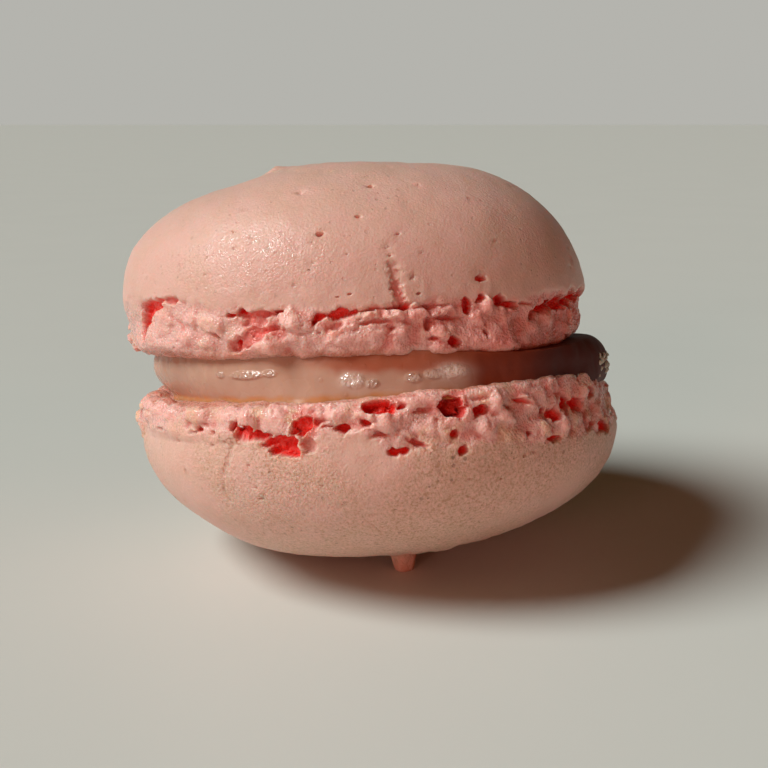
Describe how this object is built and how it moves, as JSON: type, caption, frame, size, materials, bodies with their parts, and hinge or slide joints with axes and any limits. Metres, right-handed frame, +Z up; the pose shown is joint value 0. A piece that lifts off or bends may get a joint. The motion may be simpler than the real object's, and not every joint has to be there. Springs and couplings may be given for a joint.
{
  "type": "french macaron",
  "caption": "Almond meringue sandwich biscuit: two domed shells with frothy feet and a disc of soft filling between them.",
  "frame": {"origin": "on the surface that the macaron stands on, under the middle of its box", "axes": "+Z up, +X to the right and -Y towards the front, the side whose foot shows the open cracks"},
  "size_m": [0.044, 0.0434, 0.0355],
  "materials": {
    "shell": "dry pale pink meringue crust, faintly satin, with a rough frothy foot",
    "filling": "wet translucent beige pink cream"
  },
  "bodies": {
    "root": {"upper_shell": "shell", "filling": "filling", "lower_shell": "shell"}
  },
  "joints": []
}
